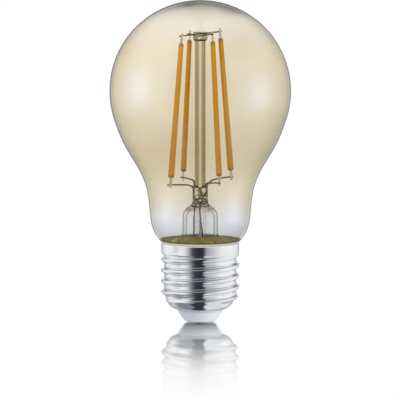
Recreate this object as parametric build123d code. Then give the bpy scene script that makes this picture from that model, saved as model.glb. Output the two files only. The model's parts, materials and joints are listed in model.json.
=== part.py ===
from build123d import *
import math
import os

# Smart LED filament lamp, pear-shaped amber glass on an E27 Edison screw cap.
# Frame: millimetres, origin at the middle of the centre contact's flat underside,
# +Z up the lamp's axis from the cap to the top of the glass, -Y towards the viewer.
# Each piece is modelled where it sits in the finished lamp and written to its own file.

# ---------------------------------------------------------------- driving sizes
LAMP_H = 107.75           # contact face to top of glass
GLOBE_R = 30.25           # outside radius of the spherical top
GLOBE_Z = LAMP_H - GLOBE_R
GLASS_T = 0.8             # blown wall

# E27 Edison screw cap
THREAD_PITCH = 3.629      # 7 turns per inch
THREAD_ROOT_R = 12.00
THREAD_DEPTH = 1.05
THREAD_CREST_R = THREAD_ROOT_R + THREAD_DEPTH
THREAD_HALF_W = 1.6       # half the axial width of one rolled ridge
THREAD_Z0 = 4.78          # height of the ridge's centre line where it crosses +X
SHEET_T = 0.30            # rolled sheet of the cap
SKIRT_R = THREAD_CREST_R  # plain skirt over the thread
COLLAR_R = SKIRT_R - 0.05 # top of the rolled part, just inside the skirt's bead
SKIRT_Z = 24.0            # where the plain skirt starts
CAP_TOP_Z = 26.8
CAP_BOTTOM_Z = 4.30
CAP_MOUTH_R = 7.50        # hole in the cap's floor, filled by the insulator

CONTACT_R = 4.50
CONTACT_T = 0.45
INSULATOR_BOTTOM_R = 5.45
INSULATOR_R = 7.40        # where it leaves the cap's floor

# glass stem
STEM_R = 5.85
STEM_T = 1.0
FLOOR_Z = 27.30           # vacuum side of the flare's floor
EXHAUST_R = 1.95
EXHAUST_BORE_R = 1.20
TUBE_TOP_Z = 39.4         # where the exhaust tube meets the stem
PINCH_X, PINCH_Y, PINCH_TOP = 5.10, 3.70, 46.1
COLUMN_R = 1.79
COLUMN_Z0, COLUMN_Z1 = 45.2, 95.0
BUTTON_R, BUTTON_Z0, BUTTON_Z1 = 2.42, 94.2, 97.2

# light-emitting filaments, square on plan, turned by FIL_TURN about the axis
FIL_TURN = math.radians(31.0)
FIL_TOP_R, FIL_BOT_R = 7.30, 11.75
FIL_BACK_RIGHT_OUT = 0.20 # the back right filament stands a little further out
LEAD_R = 0.25             # lower nickel leads
LINK_R = 0.225            # upper link wires
TAB_W, TAB_T = 0.90, 0.20
COAT_L = 44.7
COAT_TOP = (1.60, 1.45)   # silicone coat at its upper and lower end: it settles as it cures
COAT_LOW = (2.00, 1.75)
STRIP_W, STRIP_H, STRIP_L = 0.90, 0.45, 43.6
CHIP_N, CHIP_PITCH = 28, 1.5
CHIP_L, CHIP_W, CHIP_H = 0.76, 0.25, 0.15
TAB_END = 25.65           # half length of the filament over its tabs

# driver in the cap
BOARD_R, BOARD_T, BOARD_Z = 11.15, 1.0, 18.0   # BOARD_Z is its underside
SLEEVE_R, SLEEVE_T = 11.45, 0.25
SLEEVE_Z0, SLEEVE_Z1 = 9.6, 20.6

os.makedirs("parts", exist_ok=True)
AXIS = Axis.Z
parts = {}


def solids_of(shape):
    return list(shape.solids()) if shape is not None else []


def keep(name, *shapes):
    # one node: every solid of the given shapes, side by side
    found = [s for shape in shapes for s in solids_of(shape)]
    parts[name] = found[0] if len(found) == 1 else Compound(found)
    return parts[name]


def spin(*edges):
    # closed profile in (radius, height), turned once about the lamp's axis
    face = make_face([part_edge for e in edges for part_edge in (Plane.XZ * e).edges()])
    return revolve(face, axis=AXIS, revolution_arc=360)


def spin_poly(*pts):
    return spin(Polyline(*pts, pts[0]))


def offset_points(edge, distance, n):
    # n points along an edge, moved sideways by distance (positive = left of travel)
    out = []
    for i in range(n):
        p, t = edge @ (i / (n - 1)), edge % (i / (n - 1))
        out.append((p.X - t.Y * distance, p.Y + t.X * distance))
    return out


def wire(points, radius, start=None, end=None):
    # round wire drawn through the points
    if len(points) == 2:
        path = Line(*points)
    elif start is not None and end is not None:
        path = Spline(*points, tangents=[start, end])
    else:
        path = Spline(*points)
    return sweep(Plane(origin=path @ 0, z_dir=path % 0) * Circle(radius), path=path)


def rod(p, q, radius):
    return wire([p, q], radius)


def block(x, y, z, sx, sy, sz):
    # box with its centre at x, y, z
    return Pos(x, y, z) * Box(sx, sy, sz)


# ---------------------------------------------------------------- glass envelope
join_z = 68.0
join_r = math.sqrt(GLOBE_R**2 - (GLOBE_Z - join_z) ** 2)
drop = math.asin((GLOBE_Z - join_z) / GLOBE_R)
crown = ThreePointArc(
    (0, LAMP_H),
    (GLOBE_R * math.sin(math.radians(50)), GLOBE_Z + GLOBE_R * math.cos(math.radians(50))),
    (join_r, join_z),
)
shoulder_pts = [
    (join_r, join_z),
    (25.30, 59.5),
    (20.98, 52.2),
    (18.02, 45.2),
    (17.00, 38.6),
    (16.03, 32.0),
    (14.15, 28.3),
    (12.45, 26.45),
]
shoulder = Spline(*shoulder_pts, tangents=[(-math.sin(drop), -math.cos(drop)), (-0.62, -0.78)])
NECK_LIP_Z = 24.2
neck_out = Polyline((12.45, 26.45), (12.05, 25.85), (12.05, 24.7), (11.6, NECK_LIP_Z), (11.05, NECK_LIP_Z + 0.1))
neck_in = Polyline((11.05, NECK_LIP_Z + 0.1), (10.85, 24.9), (11.30, 25.9), (12.35, 27.6))
inner_r = GLOBE_R - GLASS_T
inner_join = (inner_r * math.cos(drop), GLOBE_Z - inner_r * math.sin(drop))
crown_in = ThreePointArc(
    (0, GLOBE_Z + inner_r),
    (inner_r * math.sin(math.radians(50)), GLOBE_Z + inner_r * math.cos(math.radians(50))),
    inner_join,
)
moved = offset_points(shoulder, -(GLASS_T), 12)
inner_pts = [inner_join] + [p for p in moved[2:-2]] + [(12.35, 27.6)]
shoulder_in = Spline(*inner_pts, tangents=[(-math.sin(drop), -math.cos(drop)), (-0.53, -0.85)])
glass = spin(
    crown,
    shoulder,
    neck_out,
    neck_in,
    shoulder_in,
    crown_in,
    Line((0, GLOBE_Z + inner_r), (0, LAMP_H)),
)
keep("glass_envelope", glass)

# ---------------------------------------------------------------- screw shell
# Rolled from one sheet, so inside and outside carry the same thread. The shell is lofted
# through its own cross-sections, one every SECTION_STEP degrees round the axis.
SECTION_STEP = 10


def ease(a, b, x):
    t = min(1.0, max(0.0, (x - a) / (b - a)))
    return t * t * (3 - 2 * t)


def thread_height(u):
    # rolled wave: u is the axial distance from a ridge's centre line
    u = abs((u + THREAD_PITCH / 2) % THREAD_PITCH - THREAD_PITCH / 2)
    if u >= THREAD_HALF_W:
        return 0.0
    r = THREAD_HALF_W / (2 * math.sin(2 * math.atan(THREAD_DEPTH / THREAD_HALF_W)))
    if u <= THREAD_HALF_W / 2:
        return THREAD_DEPTH - r + math.sqrt(r * r - u * u)
    v = THREAD_HALF_W - u
    return r - math.sqrt(r * r - v * v)


cone = Spline(
    (8.60, CAP_BOTTOM_Z + 0.28), (10.35, 5.75), (11.40, 7.9), (THREAD_ROOT_R, 10.8), tangents=[(1, 0.42), (0, 1)]
)
step = Spline(
    (THREAD_ROOT_R, 22.1),
    ((THREAD_ROOT_R + COLLAR_R) / 2, 22.90),
    (COLLAR_R, 23.7),
    tangents=[(0, 1), (0, 1)],
)
# the rolled part's outline without its thread, from the mouth in the floor to the skirt
outline = [(CAP_MOUTH_R, CAP_BOTTOM_Z), (8.05, CAP_BOTTOM_Z + 0.11)]
outline += [((cone @ (i / 20)).X, (cone @ (i / 20)).Y) for i in range(20)]
outline += [(THREAD_ROOT_R, 10.8 + (22.1 - 10.8) * i / 50) for i in range(50)]
outline += [((step @ (i / 10)).X, (step @ (i / 10)).Y) for i in range(11)]
outline += [(COLLAR_R, SKIRT_Z)]
run = [0.0]
for p, q in zip(outline, outline[1:]):
    run.append(run[-1] + math.hypot(q[0] - p[0], q[1] - p[1]))
knots = [d / run[-1] for d in run]


def shell_section(theta):
    # closed section at one angle: outer curve, rim, inner curve one sheet away, mouth;
    # where the last ridge meets the step up to the skirt the two run together
    ridge_z = THREAD_Z0 + THREAD_PITCH * theta / (2 * math.pi)
    outer = []
    for r, z in outline:
        ridge = ease(6.2, 8.8, z) * (1 - ease(22.7, 23.7, z)) * thread_height(z - ridge_z)
        rise = max(0.0, r - THREAD_ROOT_R)
        outer.append((r + ridge - rise * ridge / THREAD_DEPTH, z))
    inner = []
    last = len(outer) - 1
    for i, (r, z) in enumerate(outer):
        p, q = outer[max(i - 1, 0)], outer[min(i + 1, last)]
        dr, dz = q[0] - p[0], q[1] - p[1]
        length = math.hypot(dr, dz)
        nr, nz = -dz / length, dr / length
        if i == 0:
            nr, nz = 0, 1
        if i == last:
            nr, nz = -1, 0
        inner.append((r + nr * SHEET_T, z + nz * SHEET_T))
    c, s = math.cos(theta), math.sin(theta)
    outer = [Vector(r * c, r * s, z) for r, z in outer]
    inner = [Vector(r * c, r * s, z) for r, z in inner]
    return Wire(
        [
            Edge.make_spline(outer, parameters=knots),
            Edge.make_line(outer[-1], inner[-1]),
            Edge.make_spline(inner, parameters=knots),
            Edge.make_line(inner[0], outer[0]),
        ]
    )


def shell_half(start, stop):
    n = (stop - start) // SECTION_STEP
    return Solid.make_loft([shell_section(math.radians(start + SECTION_STEP * k)) for k in range(n + 1)])


# plain skirt, a true cylinder a little proud of the rolled part on both faces
skirt = spin_poly(
    (SKIRT_R - SHEET_T - 0.10, SKIRT_Z),
    (SKIRT_R, SKIRT_Z),
    (SKIRT_R, CAP_TOP_Z - 0.12),
    (SKIRT_R - 0.12, CAP_TOP_Z),
    (SKIRT_R - 0.24, CAP_TOP_Z),
    (SKIRT_R - SHEET_T - 0.10, CAP_TOP_Z - 0.35),
)
keep("screw_shell", shell_half(0, 180) + shell_half(180, 360) + skirt)

# ---------------------------------------------------------------- insulator and centre contact
insulator = spin_poly(
    (1.45, CONTACT_T),
    (CONTACT_R + 0.35, CONTACT_T),
    (INSULATOR_BOTTOM_R - 0.12, CONTACT_T + 0.12),
    (INSULATOR_BOTTOM_R + 0.10, CONTACT_T + 0.40),
    (6.45, 2.20),
    (7.15, 3.15),
    (INSULATOR_R, 3.75),
    (INSULATOR_R, 4.68),
    (8.10, 5.00),
    (8.10, 6.60),
    (6.60, 6.60),
    (6.10, 4.80),
    (4.30, 2.20),
    (2.60, 2.20),
    (2.60, 6.20),
    (1.45, 6.20),
)
keep("base_insulator", insulator)
contact = spin_poly(
    (0.55, 0.55),
    (0.55, 7.00),
    (1.95, 7.00),
    (1.95, 6.60),
    (1.60, 6.24),
    (1.40, 6.20),
    (1.40, CONTACT_T),
    (CONTACT_R, CONTACT_T),
    (CONTACT_R, 0.18),
    (CONTACT_R - 0.18, 0.0),
    (0, 0.0),
    (0, 0.55),
)
keep("centre_contact", contact)

# ---------------------------------------------------------------- cement between glass, flare and skirt
cement = spin_poly(
    (6.60, 22.60),
    (11.45, 22.60),
    (12.45, 24.02),
    (12.63, 24.02),
    (12.63, 26.30),
    (12.48, 26.25),
    (12.28, 26.10),
    (12.08, 25.80),
    (12.08, 24.68),
    (11.62, 24.15),
    (11.03, 24.25),
    (10.82, 24.90),
    (11.26, 25.88),
    (11.40, 26.12),
    (8.80, 26.12),
    (7.60, 25.90),
    (6.60, 25.60),
)
keep("basing_cement", cement)

# ---------------------------------------------------------------- filament positions
ca, sa = math.cos(FIL_TURN), math.sin(FIL_TURN)
# direction on plan, height of the upper weld and height of the lower weld
FILAMENTS = {
    "front_left": ((-ca, -sa), 96.05, 46.65),
    "front_right": ((sa, -ca), 96.75, 47.60),
    "back_right": ((ca, sa), 97.05, 48.20),
    "back_left": ((-sa, ca), 96.10, 47.60),
}
# which side of its wires each filament's tabs are welded to
TAB_SIDE = {"front_left": 1, "front_right": 1, "back_right": -1, "back_left": -1}


def polar(direction, r, z):
    return (direction[0] * r, direction[1] * r, z)


# ---------------------------------------------------------------- wires
fl, fr, br, bl = (FILAMENTS[k] for k in ("front_left", "front_right", "back_right", "back_left"))
link_a = wire([polar(fl[0], FIL_TOP_R + 0.85, fl[1] - 0.06), polar(br[0], FIL_TOP_R + 1.05, br[1] + 0.06)], LINK_R)
link_b = wire(
    [
        polar(bl[0], FIL_TOP_R + 0.85, bl[1] + 0.03),
        polar(bl[0], FIL_TOP_R - 1.2, bl[1]),
        polar(bl[0], 2.2, 95.98),
        (0, 0, 95.92),
        polar(fr[0], 2.2, 96.22),
        polar(fr[0], FIL_TOP_R - 1.2, fr[1] - 0.08),
        polar(fr[0], FIL_TOP_R + 0.85, fr[1] + 0.03),
    ],
    LINK_R,
)
lead_a = wire(
    [polar(fl[0], FIL_BOT_R + 0.95, fl[2]), polar(fl[0], FIL_BOT_R - 1.6, fl[2] - 0.02), polar(fl[0], 6.6, fl[2] - 0.22), (-3.5, -1.75, 46.05), (-2.25, -0.82, 45.0), (-2.0, -0.6, 43.5)],
    LEAD_R,
)
lead_d = wire(
    [polar(br[0], FIL_BOT_R + 1.15, br[2] + 0.05), polar(br[0], FIL_BOT_R - 1.6, br[2] - 0.12), polar(br[0], 6.4, 47.75), (3.3, 1.85, 46.98), (2.25, 1.05, 45.5), (1.6, 0.6, 43.5)],
    LEAD_R,
)
lead_b = wire(
    [polar(bl[0], FIL_BOT_R + 0.95, bl[2]), polar(bl[0], FIL_BOT_R - 1.6, bl[2]), polar(bl[0], 6.2, 47.40), (-2.15, 3.1, 47.02), (-2.0, 1.75, 46.1), (-1.98, 0.9, 44.9), (-1.95, -0.06, 43.7)],
    LEAD_R,
)
lead_c = wire(
    [polar(fr[0], FIL_BOT_R + 0.95, fr[2]), polar(fr[0], FIL_BOT_R - 1.6, fr[2]), polar(fr[0], 6.2, 47.2), (2.0, -2.85, 46.7), (2.0, -1.35, 45.5), (1.8, 0.08, 43.9)],
    LEAD_R,
)
dumet_l = wire([(-2.0, -0.6, 43.5), (-1.9, -1.0, 41.8), (-1.55, -1.75, 39.9), (-1.6, -2.3, 38.2)], 0.22)
dumet_r = wire([(1.6, 0.6, 43.5), (1.0, -0.45, 42.0), (0.4, -1.6, 40.6), (-0.05, -2.3, 39.3), (-0.1, -2.6, 38.2)], 0.22)
tail_l = wire(
    [(-1.6, -2.3, 38.2), (-2.0, -2.85, 36.4), (-2.15, -3.05, 32.5), (-2.35, -3.15, 27.5), (-3.7, -4.4, 22.0), (-4.2, -4.9, 19.4), (-4.25, -4.95, 17.3)], 0.2
)
tail_r = wire(
    [(-0.1, -2.6, 38.2), (-0.05, -3.1, 36.2), (0.35, -3.3, 33.0), (0.75, -3.2, 29.6), (0.6, -3.35, 26.8), (1.6, -5.0, 22.2), (2.0, -5.6, 19.4), (2.05, -5.65, 17.3)], 0.2
)
keep("upper_link_wire_left_right", link_a)
keep("upper_link_wire_back_front", link_b)
keep("inner_lead_left", lead_a)
keep("inner_lead_right", lead_d)
keep("inner_lead_left_branch", lead_b)
keep("inner_lead_right_branch", lead_c)
keep("seal_wire_left", dumet_l)
keep("seal_wire_right", dumet_r)
keep("outer_lead_left", tail_l)
keep("outer_lead_right", tail_r)

# ---------------------------------------------------------------- glass stem, exhaust tube, column and button
stem_out = spin(
    Line((0, 41.2), (2.50, 41.2)),
    Spline((2.50, 41.2), (2.95, 39.75), (4.55, 38.35), (5.55, 36.9), (STEM_R, 35.0), tangents=[(0.0, -1), (0, -1)]),
    Line((STEM_R, 35.0), (STEM_R, 30.6)),
    Spline((STEM_R, 30.6), (6.25, 29.1), (7.40, 27.95), (9.4, FLOOR_Z + 0.05), tangents=[(0, -1), (1, -0.12)]),
    Line((9.4, FLOOR_Z + 0.05), (12.165, FLOOR_Z)),
    Line((12.165, FLOOR_Z), (11.485, 26.2)),
    Line((11.485, 26.2), (9.0, 26.2)),
    Spline((9.0, 26.2), (6.55, 27.2), (5.25, 28.7), (STEM_R - STEM_T, 30.6), tangents=[(-1, 0.1), (0, 1)]),
    Line((STEM_R - STEM_T, 30.6), (STEM_R - STEM_T, 34.8)),
    Spline((STEM_R - STEM_T, 34.8), (4.55, 36.4), (3.6, 37.7), (EXHAUST_R, 38.6), tangents=[(0, 1), (-1, 0.15)]),
    Polyline((EXHAUST_R, 38.6), (EXHAUST_R, TUBE_TOP_Z), (EXHAUST_BORE_R, TUBE_TOP_Z), (EXHAUST_BORE_R, 40.6), (0, 40.9)),
    Line((0, 40.9), (0, 41.2)),
)
press = extrude(Pos(0, 0, 40.2) * RectangleRounded(PINCH_X, PINCH_Y, 1.2), amount=PINCH_TOP - 40.2)
press = fillet(press.edges().group_by(Axis.Z)[-1], 0.75)
for s in (-1, 1):
    valley = Pos(0, s * (PINCH_Y / 2 + 0.35), 41.2) * Cylinder(0.75, 8, align=(Align.CENTER, Align.CENTER, Align.MIN))
    press = press - valley
bore = Pos(0, 0, 39.6) * Cylinder(EXHAUST_BORE_R, 1.2, align=(Align.CENTER, Align.CENTER, Align.MIN))
seat = Pos(0, 0, COLUMN_Z0) * Cylinder(COLUMN_R, 3, align=(Align.CENTER, Align.CENTER, Align.MIN))
vent = Pos(0, 0, 40.25) * Rot(0, 0, -18) * Rot(0, 90, 0) * Cylinder(0.55, 8, align=(Align.CENTER, Align.CENTER, Align.MIN))
stem = (stem_out + press) - bore - seat - vent
for piece in (lead_a, lead_b, lead_c, lead_d, dumet_l, dumet_r):
    stem = stem - piece
keep("glass_stem", stem)

tube = spin(
    Line((EXHAUST_R, TUBE_TOP_Z), (EXHAUST_BORE_R, TUBE_TOP_Z)),
    Line((EXHAUST_BORE_R, TUBE_TOP_Z), (EXHAUST_BORE_R, 24.0)),
    Spline((EXHAUST_BORE_R, 24.0), (0.75, 22.9), (0, 22.4), tangents=[(0, -1), (-1, 0)]),
    Line((0, 22.4), (0, 21.2)),
    Spline((0, 21.2), (1.15, 21.8), (EXHAUST_R, 24.0), tangents=[(1, 0), (0, 1)]),
    Line((EXHAUST_R, 24.0), (EXHAUST_R, TUBE_TOP_Z)),
)
keep("exhaust_tube", tube)

column = Pos(0, 0, COLUMN_Z0) * Cylinder(COLUMN_R, COLUMN_Z1 - COLUMN_Z0, align=(Align.CENTER, Align.CENTER, Align.MIN))
keep("support_column", column)

button = spin(
    Polyline((0, COLUMN_Z1), (COLUMN_R, COLUMN_Z1), (COLUMN_R, BUTTON_Z0)),
    Spline((COLUMN_R, BUTTON_Z0), (2.22, 94.55), (BUTTON_R, 95.3), tangents=[(1, 0.15), (0, 1)]),
    Line((BUTTON_R, 95.3), (BUTTON_R, 96.75)),
    ThreePointArc((BUTTON_R, 96.75), (BUTTON_R - 0.13, 97.07), (BUTTON_R - 0.45, BUTTON_Z1)),
    Line((BUTTON_R - 0.45, BUTTON_Z1), (0, BUTTON_Z1)),
    Line((0, BUTTON_Z1), (0, COLUMN_Z1)),
)
button = button - link_a - link_b
keep("column_button", button)

# ---------------------------------------------------------------- filaments
def coat_slice(z, size, grow=0.0):
    w, h = size[0] + grow, size[1] + grow
    return Pos(0, 0, z) * RectangleRounded(w, h, 0.44 * h)


coat_blank = loft(
    [coat_slice(-COAT_L / 2, COAT_LOW, -0.7), coat_slice(-COAT_L / 2 + 0.30, COAT_LOW, -0.16), coat_slice(-COAT_L / 2 + 0.75, COAT_LOW)],
    ruled=True,
)
coat_blank += loft([coat_slice(-COAT_L / 2 + 0.75, COAT_LOW), coat_slice(COAT_L / 2 - 0.75, COAT_TOP)], ruled=True)
coat_blank += loft(
    [coat_slice(COAT_L / 2 - 0.75, COAT_TOP), coat_slice(COAT_L / 2 - 0.30, COAT_TOP, -0.16), coat_slice(COAT_L / 2, COAT_TOP, -0.6)],
    ruled=True,
)
strip = Pos(0, 0, 0) * Box(STRIP_W, STRIP_H, STRIP_L)
chips = [
    Pos(0, STRIP_H / 2 + CHIP_H / 2, (i - (CHIP_N - 1) / 2) * CHIP_PITCH) * Box(CHIP_W, CHIP_H, CHIP_L)
    for i in range(CHIP_N)
]
tab_len = TAB_END - STRIP_L / 2
tab = Pos(0, 0, STRIP_L / 2 + tab_len / 2) * Box(TAB_W, TAB_T, tab_len)
tab = fillet(tab.edges().filter_by(Axis.Y).group_by(Axis.Z)[-1], 0.25)
tab_low = tab.mirror(Plane.XY)
coat = coat_blank - strip - tab - tab_low
for c in chips:
    coat = coat - c


def frame_of(name):
    # plane of one filament: origin mid-length, z up the filament, x away from the axis
    direction, z_top, z_bot = FILAMENTS[name]
    side = Vector(-direction[1], direction[0], 0) * TAB_SIDE[name]
    out = FIL_BACK_RIGHT_OUT if name == "back_right" else 0
    top = Vector(*polar(direction, FIL_TOP_R + out, z_top)) + side * (TAB_T / 2 + LINK_R)
    low = Vector(*polar(direction, FIL_BOT_R + out, z_bot)) + side * (TAB_T / 2 + LEAD_R)
    z = (top - low).normalized()
    away = Vector(direction[0], direction[1], 0)
    x = (away - z * away.dot(z)).normalized()
    return Plane(origin=(top + low) * 0.5, x_dir=x, z_dir=z)


all_tabs, all_chips = [], []
for name in FILAMENTS:
    where = frame_of(name).location
    keep(f"filament_{name}_coat", where * coat)
    keep(f"filament_{name}_strip", where * strip)
    all_tabs += [where * tab, where * tab_low]
    all_chips += [where * c for c in chips]
keep("filament_tabs", *all_tabs)
keep("led_chips", *all_chips)

# ---------------------------------------------------------------- driver: board and sleeve
board = Pos(0, 0, BOARD_Z) * Cylinder(BOARD_R, BOARD_T, align=(Align.CENTER, Align.CENTER, Align.MIN))
HOLE_R = 0.42
PIN_R = 0.25
CAN = (-4.7, 3.9)                      # bulk capacitor
COIL = (5.3, 3.6)                      # inductor
FUSE = (7.0, -4.6)                     # fusible resistor
can_pins = [(CAN[0] - 1.25, CAN[1]), (CAN[0] + 1.25, CAN[1])]
coil_pins = [(COIL[0] - 1.5, COIL[1] + 0.6), (COIL[0] + 1.5, COIL[1] - 0.6)]
fuse_pin = FUSE
antenna_xy = (0.0, 5.35)
neutral_xy = (-9.3, -2.9)
lead_holes = [(-4.24, -4.94), (2.04, -5.64)]
holes = can_pins + coil_pins + [fuse_pin] + lead_holes
for x, y in holes:
    board = board - Pos(x, y, BOARD_Z - 1) * Cylinder(HOLE_R, 3, align=(Align.CENTER, Align.CENTER, Align.MIN))
board = board - Pos(0, 0, BOARD_Z - 1) * Cylinder(2.4, 3, align=(Align.CENTER, Align.CENTER, Align.MIN))
board = board - Pos(antenna_xy[0], antenna_xy[1], BOARD_Z - 1) * Cylinder(0.75, 3, align=(Align.CENTER, Align.CENTER, Align.MIN))
keep("driver_board", board)
sleeve = spin_poly(
    (SLEEVE_R - SLEEVE_T, SLEEVE_Z0), (SLEEVE_R, SLEEVE_Z0), (SLEEVE_R, SLEEVE_Z1), (SLEEVE_R - SLEEVE_T, SLEEVE_Z1)
)
keep("insulating_sleeve", sleeve)

# bulk capacitor: can, bung and two leads
can = Pos(CAN[0], CAN[1], 9.7) * Cylinder(3.15, 8.0, align=(Align.CENTER, Align.CENTER, Align.MIN))
can = fillet(can.edges().group_by(Axis.Z)[0], 0.5)
can_hollow = Pos(CAN[0], CAN[1], 16.4) * Cylinder(2.85, 2.0, align=(Align.CENTER, Align.CENTER, Align.MIN))
bung = Pos(CAN[0], CAN[1], 16.4) * Cylinder(2.85, 1.45, align=(Align.CENTER, Align.CENTER, Align.MIN))
can_leads = [rod((x, y, 16.6), (x, y, 19.75), PIN_R) for x, y in can_pins]
for w in can_leads:
    bung = bung - w
keep("bulk_capacitor_can", can - can_hollow)
keep("bulk_capacitor_bung", bung)
keep("bulk_capacitor_leads", *can_leads)

# inductor: drum core, winding and two leads
drum = Pos(COIL[0], COIL[1], 12.2) * (
    Cylinder(2.9, 0.9, align=(Align.CENTER, Align.CENTER, Align.MIN))
    + Cylinder(1.5, 5.6, align=(Align.CENTER, Align.CENTER, Align.MIN))
    + Pos(0, 0, 4.7) * Cylinder(2.9, 0.9, align=(Align.CENTER, Align.CENTER, Align.MIN))
)
coil_leads = [rod((x, y, 17.3), (x, y, 19.75), PIN_R) for x, y in coil_pins]
for w in coil_leads:
    drum = drum - w
winding_turns = []
rows = 9
pitch_z = 3.8 / rows
outline = [(1.52, 13.12)]
for i in range(rows):
    z = 13.12 + i * pitch_z
    outline += [(2.46, z), (2.62, z + pitch_z * 0.5)]
outline += [(2.46, 13.12 + rows * pitch_z - 0.02), (1.52, 13.12 + rows * pitch_z - 0.02)]
winding = Pos(COIL[0], COIL[1], 0) * spin_poly(*outline)
keep("inductor_core", drum)
keep("inductor_winding", winding)
keep("inductor_leads", *coil_leads)

# fusible resistor standing in its shrink tube, live wire and its insulation
fuse_body = Pos(FUSE[0], FUSE[1], 10.4) * Cylinder(1.15, 5.8, align=(Align.CENTER, Align.CENTER, Align.MIN))
fuse_body = fillet(fuse_body.edges().group_by(Axis.Z)[0] + fuse_body.edges().group_by(Axis.Z)[-1], 0.4)
fuse_top = rod((FUSE[0], FUSE[1], 16.2), (FUSE[0], FUSE[1], 19.75), PIN_R)
live_pts = [(FUSE[0], FUSE[1], 10.4), (FUSE[0], FUSE[1], 9.3), (5.6, -3.4, 8.0), (2.9, -1.6, 8.35), (0.9, -0.35, 8.55), (0.1, -0.03, 7.9), (0, 0, 7.0), (0, 0, 5.2)]
live = wire(live_pts, 0.25)
live_cover_path = Spline(*live_pts)
cover_edge = live_cover_path.trim(0.22, 0.62)
live_cover = sweep(Plane(origin=cover_edge @ 0, z_dir=cover_edge % 0) * (Circle(0.55) - Circle(0.27)), path=cover_edge)
shrink = spin_poly((1.18, 9.9), (1.38, 9.9), (1.38, 16.9), (1.18, 16.9))
keep("fusible_resistor", fuse_body)
keep("fusible_resistor_top_lead", fuse_top)
keep("live_wire", live)
keep("live_wire_insulation", live_cover)
keep("fusible_resistor_shrink_tube", Pos(FUSE[0], FUSE[1], 0) * shrink)

# neutral wire: over the sleeve's rim to the cap's skirt, with its solder on the board's top
neutral = wire([(neutral_xy[0], neutral_xy[1], 19.22), (-10.1, -3.15, 20.4), (-10.90, -3.40, 21.75), (-11.20, -3.50, 22.8), (-11.85, -3.70, 23.8)], 0.2)

# bridge rectifier on the board's top, driver chip, diode and small parts below
top = BOARD_Z + BOARD_T
rect_body = fillet(block(-6.7, 0.4, top + 0.95, 3.9, 4.7, 1.5).edges(), 0.2)


def gull(x, y, z0, z1, out, w, sx, sy):
    # bent lead from a body side down to the board: foot and riser in one solid
    foot = block(x + sx * out / 2, y + sy * out / 2, z0, (out if sx else w), (out if sy else w), 0.15)
    riser_h = abs(z1 - z0)
    riser = block(x + sx * 0.1, y + sy * 0.1, (z0 + z1) / 2, (0.2 if sx else w), (0.2 if sy else w), riser_h + 0.15)
    return foot + riser


rect_pins = []
for yy in (-0.8, 1.6):
    for sx in (-1, 1):
        rect_pins.append(gull(-6.7 + sx * 1.95, yy, top + 0.075, top + 0.9, 0.75, 0.6, sx, 0))
keep("bridge_rectifier", rect_body)
keep("bridge_rectifier_pins", *rect_pins)

CHIP_XY = (-1.5, -7.6)
chip_body = fillet(block(CHIP_XY[0], CHIP_XY[1], BOARD_Z - 0.90, 4.9, 3.6, 1.35).edges(), 0.15)
chip_pins = []
for k in range(4):
    xx = CHIP_XY[0] + (k - 1.5) * 1.27
    for sy in (-1, 1):
        chip_pins.append(gull(xx, CHIP_XY[1] + sy * 1.8, BOARD_Z - 0.075, BOARD_Z - 0.9, 0.6, 0.42, 0, sy))
keep("driver_chip", chip_body)
keep("driver_chip_pins", *chip_pins)

diode = fillet(block(3.5, -8.5, BOARD_Z - 0.65, 2.7, 1.6, 1.1).edges(), 0.12)
diode_caps = [block(3.5 + s * 1.6, -8.5, BOARD_Z - 0.35, 0.5, 0.9, 0.7) for s in (-1, 1)]
keep("freewheel_diode", diode)
keep("freewheel_diode_terminals", *diode_caps)


def two_terminal(x, y, z, along_x, length, width, height):
    # small surface-mount body with a metal cap on each end, under the board
    lx, ly = (length - 0.6, width) if along_x else (width, length - 0.6)
    body = block(x, y, z - height / 2, lx, ly, height)
    caps = []
    for s in (-1, 1):
        off = s * (length / 2 - 0.15)
        px, py = (x + off, y) if along_x else (x, y + off)
        caps.append(block(px, py, z - height / 2, 0.3 if along_x else width, width if along_x else 0.3, height))
    return body, caps


res_bodies, res_caps = [], []
for x, y, ax in ((-8.6, -0.9, False), (-9.0, 1.9, False), (1.0, -3.6, True), (6.9, -0.9, True)):
    b, c = two_terminal(x, y, BOARD_Z, ax, 2.0, 1.25, 0.5)
    res_bodies.append(b)
    res_caps += c
cer_bodies, cer_caps = [], []
for x, y, ax in ((9.6, 0.6, False), (-6.6, -3.0, True)):
    b, c = two_terminal(x, y, BOARD_Z, ax, 2.0, 1.25, 1.1)
    cer_bodies.append(b)
    cer_caps += c
keep("chip_resistors", *res_bodies)
keep("ceramic_capacitors", *cer_bodies)
keep("chip_component_terminals", *res_caps, *cer_caps)

# radio module hanging from the board, its shield can and its antenna up in the stem's hollow
radio_board = block(0.2, 8.7, BOARD_Z - 3.9, 10.0, 0.8, 7.8)
shield = block(0.25, 7.55, BOARD_Z - 4.75, 7.0, 1.5, 5.0)
shield = shield - block(0.25, 7.75, BOARD_Z - 4.75, 6.6, 1.5, 4.6)
radio_chip = block(0.7, 7.95, BOARD_Z - 4.7, 3.0, 0.7, 3.0)
crystal = block(-2.2, 8.0, BOARD_Z - 4.0, 1.2, 0.6, 1.6)
keep("radio_board", radio_board)
keep("radio_shield", shield)
keep("radio_chip", radio_chip)
keep("radio_crystal", crystal)
antenna_pts = [(0.0, 5.35, 17.0), (0.0, 5.35, 19.2), (0.0, 5.1, 22.4), (0.0, 3.95, 26.6), (0.0, 3.45, 30.0), (0.0, 3.4, 35.2)]
antenna = wire(antenna_pts, 0.2)
antenna_path = Spline(*antenna_pts)
ant_edge = antenna_path.trim(0.08, 0.94)
antenna_cover = sweep(Plane(origin=ant_edge @ 0, z_dir=ant_edge % 0) * (Circle(0.42) - Circle(0.22)), path=ant_edge)
keep("antenna_wire", antenna)
keep("antenna_insulation", antenna_cover)

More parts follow.
